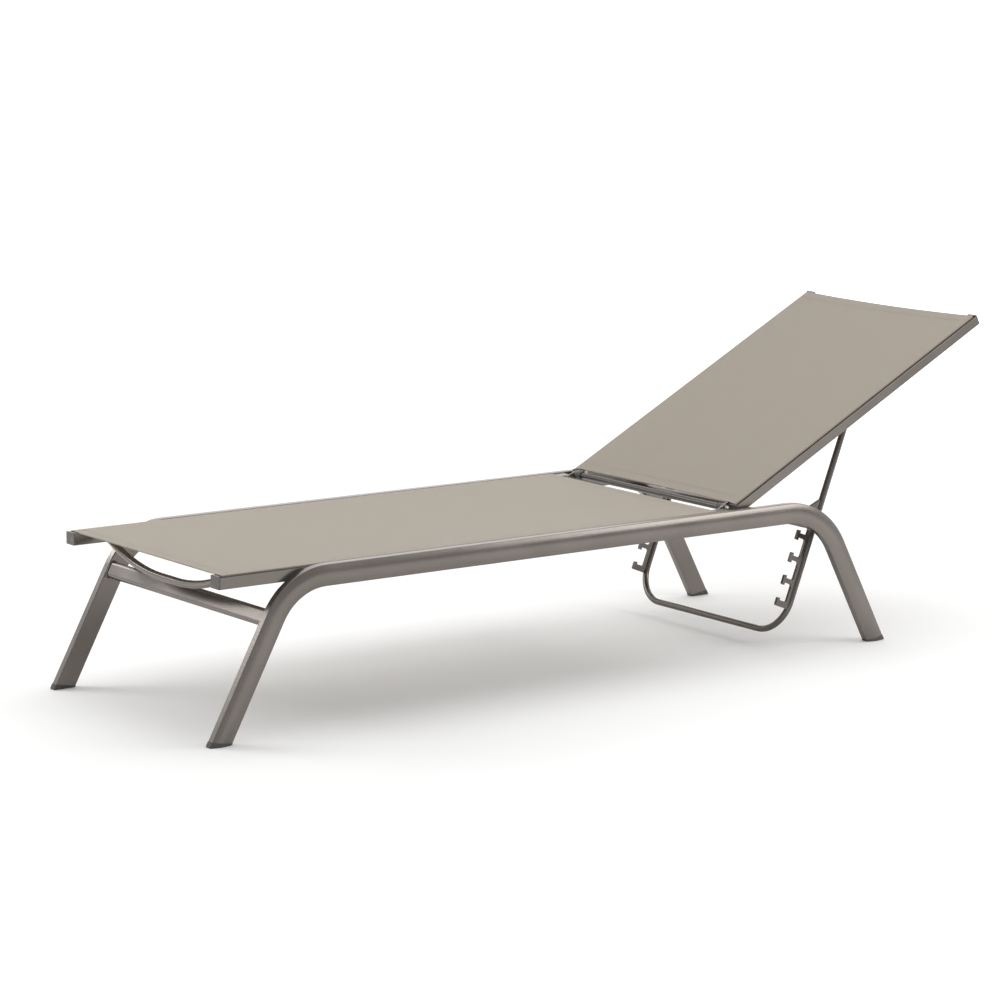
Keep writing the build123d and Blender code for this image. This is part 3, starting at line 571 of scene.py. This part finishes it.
seat_cloth = woven("seat_cloth", 0.0, CLOTH)
back_cloth = woven("back_cloth", back_tilt, CLOTH)
ear = ear_edge()
seat = stretch_sling(
    "seat_cloth", "root", SEAT_AXES, "seat_sling", "seat_rail_left", seat_cloth,
    pull=(2 * MM, 1 * MM), sag=3.5 * MM, end_sag=0.3 * MM,
)
back = stretch_sling(
    "backrest_cloth", "backrest", BACK_AXES, "backrest_sling", "backrest_rail_left", back_cloth,
    pull=(7.7 * MM, 1.5 * MM), sag=3.5 * MM, end_sag=3.5 * MM, ear=ear,
)
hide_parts("seat_sling")
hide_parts("backrest_sling")

# %% [markdown]
# ## Stitches
#
# Two rows of lockstitch hold each hem. A stitch is a short thread that dives into the cloth at
# both ends, so a row of small flattened spindles looks right from close by, and it can be built
# straight from the grid of the cloth: the rows sit at a fixed distance from the edge.

# %% Stitching
STITCH = 3.6 * MM  # from one stitch to the next
THREAD = 0.35 * MM  # half its thickness
STITCH_ROWS = (20 * MM, 23.5 * MM)  # from the cloth's edge
STITCH_ENDS = {"seat_cloth": 0.268, "backrest_cloth": 0.258}  # from the middle, in metres
SPINDLE = ((0, 0.25), (0.2, 0.9), (0.5, 1.0), (0.8, 0.9), (1, 0.25))  # share of length, girth

thread = woven("thread", 0.0, shade_of(CLOTH, 1.05))


def stitch_row(rows, first, distance, limit, points, faces):
    """Adds one row of stitches to a list of points and faces, in the sling's axes."""
    line = rows if first else rows[::-1]
    count = line.shape[1]
    path = []
    for j in range(count):
        column = line[:, j]
        steps = np.abs(column[:, 0] - column[0, 0])
        path.append([np.interp(distance, steps, column[:, k]) for k in range(3)])
    path = np.array(path)
    across = path[:, 1]
    for y in np.arange(-limit, limit, STITCH):
        along, height = (float(np.interp(y, across, path[:, k])) for k in (0, 2))
        base = len(points)
        for share, girth in SPINDLE:
            for turn in range(6):
                angle = turn * pi / 3
                lift = THREAD * girth * sin(angle) * 0.8 + CLOTH_THICK / 2
                side = THREAD * girth * cos(angle)
                points.append((along + side, y + share * STITCH * 0.78, height + lift))
        for i in range(4):
            for turn in range(6):
                a = base + i * 6 + turn
                b = base + i * 6 + (turn + 1) % 6
                faces.append((a, b, b + 6, a + 6))
        faces.append(tuple(base + t for t in range(5, -1, -1)))
        faces.append(tuple(base + 24 + t for t in range(6)))


def stitching(name, sling, body):
    _, rows, axes, _, _ = slings[sling]
    points, faces = [], []
    for first in (True, False):
        for distance in STITCH_ROWS:
            stitch_row(rows, first, distance, STITCH_ENDS[sling], points, faces)
    mesh = bpy.data.meshes.new(name)
    mesh.from_pydata([tuple(axes @ Vector(p)) for p in points], [], faces)
    print(name, len(points) // 30, "stitches")
    return add_piece(name, mesh, thread, body)


seat_stitches = stitching("seat_stitches", "seat_cloth", "root")
back_stitches = stitching("backrest_stitches", "backrest_cloth", "backrest")

# %% [markdown]
# ## Weld beads
#
# Bars are welded to the rails and the legs. A hand-made bead is a string of overlapping puddles:
# a little round ridge with ripples about a millimetre and a half apart, seldom quite even. A tube
# whose thickness rises and falls along its path gives that. Its path goes round the foot of the
# bar, and the powder coat covers it like the rest.

# %% Weld bead
BEAD = 1.7 * MM
RIPPLE = 1.6 * MM
STEPS_IN_RIPPLE = 4
BEAD_SIDES = 10
BEAD_MEAN = 0.84  # shares of the bead's radius: the least of it, the ripples and the swelling
BEAD_RIPPLE = 0.14
BEAD_SWELL = 0.07
SWELL_WAVES = (310.0, 733.0)  # two slow waves that never agree, in radians a metre


def weld_bead(name, body, path):
    """A rippled ridge along a closed path of points."""
    path = [Vector(p) for p in path]
    path.append(path[0])
    lengths = [0.0]
    for a, b in zip(path, path[1:]):
        lengths.append(lengths[-1] + (b - a).length)
    count = int(lengths[-1] / RIPPLE) * STEPS_IN_RIPPLE
    samples = np.linspace(0, lengths[-1], count + 1)
    line = np.array([np.interp(samples, lengths, [p[k] for p in path]) for k in range(3)]).T
    line, samples = line[:-1], samples[:-1]
    centre = line.mean(axis=0)
    points, faces = [], []
    for i, point in enumerate(line):
        tangent = Vector(line[(i + 1) % count] - line[i - 1]).normalized()
        side = tangent.cross(Vector(point - centre)).normalized()
        other = tangent.cross(side)
        ripple = abs(sin(pi * samples[i] / RIPPLE))
        swell = sum(sin(samples[i] * wave) * 0.5 for wave in SWELL_WAVES)
        radius = BEAD * (BEAD_MEAN + BEAD_RIPPLE * ripple + BEAD_SWELL * swell)
        for turn in range(BEAD_SIDES):
            angle = turn * 2 * pi / BEAD_SIDES
            points.append(Vector(point) + side * radius * cos(angle) + other * radius * sin(angle))
    for i in range(count):
        here, there = i * BEAD_SIDES, (i + 1) % count * BEAD_SIDES
        for turn in range(BEAD_SIDES):
            after = (turn + 1) % BEAD_SIDES
            faces.append((here + turn, here + after, there + after, there + turn))
    mesh = bpy.data.meshes.new(name)
    mesh.from_pydata([tuple(p) for p in points], [], faces)
    piece = add_piece(name, mesh, coat, body)


def ring_path(centre, first, second, long_half, short_half, count=48):
    """Points round a bar whose outline is a circle or, where the halves differ, a slot."""
    straight = long_half - short_half
    path = []
    for i in range(count):
        angle = 2 * pi * i / count
        x = short_half * cos(angle) + (straight if cos(angle) > 0 else -straight)
        path.append(centre + first * x + second * short_half * sin(angle))
    return path


# %% Beads round the bars
across_axis = Vector((1, 0, 0))
up_axis = Vector((0, 0, 1))
GROW = 0.5 * MM  # the bead's middle line lies just outside the bar
SINK = 0.2 * MM  # and just inside the face that the bar stands on
BOW_RADIUS = 7.75 * MM
CATCH_RADIUS = 9 * MM
END_DEPTH = 0.5 * MM  # points this close to the face belong to the bar's end


def bar_beads(node, name, body, axes, face, radius):
    """A bead round each end of a round bar that stands on two faces at +-Y."""
    inverse = axes.inverted()
    points = [inverse @ v.co for v in nodes[node].data.vertices]
    for side, word in ((-1, "left"), (1, "right")):
        end = [p for p in points if p.y * side > face - END_DEPTH]
        centre = sum(end, Vector()) / len(end)
        centre.y = side * (face - SINK)
        path = ring_path(centre, across_axis, up_axis, radius + GROW, radius + GROW)
        weld_bead(f"{name}_weld_{word}", body, [axes @ p for p in path])


rail_face = -measured("seat_rail_left", SEAT_AXES)[1].y
leg_face = measured("catch_bar", SEAT_AXES)[1].y
back_face = -measured("backrest_rail_left", BACK_AXES)[1].y
bar_beads("foot_bow_bar", "foot_bow", "root", SEAT_AXES, rail_face, BOW_RADIUS)
bar_beads("head_bow_bar", "head_bow", "root", SEAT_AXES, rail_face, BOW_RADIUS)
bar_beads("catch_bar", "catch_bar", "root", SEAT_AXES, leg_face, CATCH_RADIUS)
bar_beads("backrest_head_bar", "head_bar", "backrest", BACK_AXES, back_face, BOW_RADIUS)

LEG_LEAN = radians(28.1)
CROSS_HALVES = (17 * MM, 7.5 * MM)  # of the oval tube, along the legs and square to them
cross_low, cross_high = measured("front_cross_tube", SEAT_AXES)
leg_along = Vector((sin(LEG_LEAN), 0, cos(LEG_LEAN)))
leg_square = Vector((cos(LEG_LEAN), 0, -sin(LEG_LEAN)))
for side, word in ((-1, "left"), (1, "right")):
    centre = (cross_low + cross_high) / 2
    centre.y = side * (cross_high.y - SINK)
    path = ring_path(centre, leg_along, leg_square, *[half + GROW for half in CROSS_HALVES], 72)
    weld_bead(f"cross_tube_weld_{word}", "root", path)
print("welded the bars")

# %% [markdown]
# ## The studio
#
# The lounger stands on a white sweep. Satin metal shows its surroundings, so the room is built
# like a real one: a big soft box hangs overhead and gives the soft shadow, a second stands to
# the right of the lens and draws the bright line along the top of the near rail, and a third
# behind the foot end lights the narrow faces of the front legs. The walls between them are
# plain: white behind the lounger, and dimmer behind the camera. The lamps are kept at a plain
# level, where a colour renders about as it is written. The floor and the background are made
# white by a glow that gives no light: only the camera sees it, and the metal that mirrors it.
# The glow is faint round the feet, where the shadow must show, and grows to white further away,
# where the soft box overhead no longer reaches. In the metal the walls keep most of their own
# light and shade, which is what makes a round tube look round.

# %% Floor, world and light
WHITE_WALL = (0.6, 0.79, 0.12)  # towards the brightest part of the walls
WALL_LIGHT = (0.34, 1.33)  # away from there, and there
FLOOR_HALF = 60.0
FLOOR_DROP = 0.2 * MM  # keeps the feet's lower faces clear of the floor's own face
FLOOR_WHITES = ((0.9, 0.9, 0.895, 1), (0.92, 0.92, 0.915, 1))
FLOOR_GLOW = (0.14, 1.0)  # near the lounger and far away
GLOW_RING = (1.6, 4.5)  # the distances where the glow starts to grow and where it is full
WHITE_IN_METAL = 0.22  # share of that white in what metal mirrors
SOFT_BOXES = {  # place, aim, width, height, brightness
    "top_box": ((0.5, -0.12, 3.4), (0.1, 0.0, 0.0), 3.2, 3.2, 1.36),
    "right_box": ((1.75, -1.75, 1.3), (0.35, -0.3, 0.3), 1.2, 0.9, 3.4),
    "back_box": ((-1.85, 1.75, 1.55), (-0.8, -0.3, 0.25), 1.3, 1.0, 3.9),
}


def background_rays(finish):
    """1 for the camera's rays, and a share for those that metal or glass sends on."""
    kinds = ("Is Camera Ray", "Is Glossy Ray", "Is Transmission Ray")
    camera, glossy, through = (finish.node("ShaderNodeLightPath", output=k) for k in kinds)
    return camera + (glossy + through) * WHITE_IN_METAL


def white_floor():
    finish = Finish("floor", Roughness=0.9, Specular_IOR_Level=0.0)
    grain = finish.noise(40.0, 3.0)
    finish.feed(finish.shader, {"Base Color": finish.blend(grain, *FLOOR_WHITES)})
    seen = background_rays(finish)
    away = finish.node(
        "ShaderNodeVectorMath", {0: finish.place()}, output="Value", operation="LENGTH"
    )
    glow = finish.clamp(away, *GLOW_RING, *FLOOR_GLOW) * seen
    light = finish.blend(glow, (0, 0, 0, 1), (1, 1, 1, 1))
    finish.feed(finish.shader, {"Emission Color": light, "Emission Strength": 1.0})
    return finish.material


floor_mesh = bpy.data.meshes.new("floor")
corners = [(-1, -1), (1, -1), (1, 1), (-1, 1)]
floor_mesh.from_pydata(
    [(x * FLOOR_HALF, y * FLOOR_HALF, -FLOOR_DROP) for x, y in corners], [], [(0, 1, 2, 3)]
)
floor = bpy.data.objects.new("floor", floor_mesh)
floor.data.materials.append(white_floor())
bpy.context.scene.collection.objects.link(floor)

world = bpy.data.worlds.new("studio")
world.use_nodes = True
bpy.context.scene.world = world


class Room(Finish):
    """The world's light, built with the same one way to add nodes."""

    def __init__(self, world):
        self.tree = world.node_tree
        self.shader = self.tree.nodes["Background"]


room = Room(world)
direction = room.node("ShaderNodeTexCoord", output="Generated")
towards = room.node(
    "ShaderNodeVectorMath", {0: direction, 1: WHITE_WALL}, output="Value", operation="DOT_PRODUCT"
)
wall = room.clamp(towards, -0.2, 1.0, *WALL_LIGHT)
seen = background_rays(room)
strength = room.node("ShaderNodeMix", {0: seen, 2: wall, 3: 1.0}, data_type="FLOAT")
room.feed(room.shader, {"Color": (1, 1, 1, 1), "Strength": strength})


def soft_box(name, place, aim, width, height, brightness):
    """A rectangular lamp. Its power follows from its brightness, where 1 is white."""
    lamp = bpy.data.lights.new(name, "AREA")
    lamp.shape = "RECTANGLE"
    lamp.size, lamp.size_y = width, height
    lamp.energy = brightness * pi * width * height
    box = bpy.data.objects.new(name, lamp)
    box.location = place
    box.rotation_euler = (Vector(aim) - Vector(place)).to_track_quat("-Z", "Y").to_euler()
    bpy.context.scene.collection.objects.link(box)
    print(name, round(lamp.energy, 1), "W")


for name, values in SOFT_BOXES.items():
    soft_box(name, *values)
bpy.context.scene.view_settings.view_transform = "Standard"
print("studio lit")
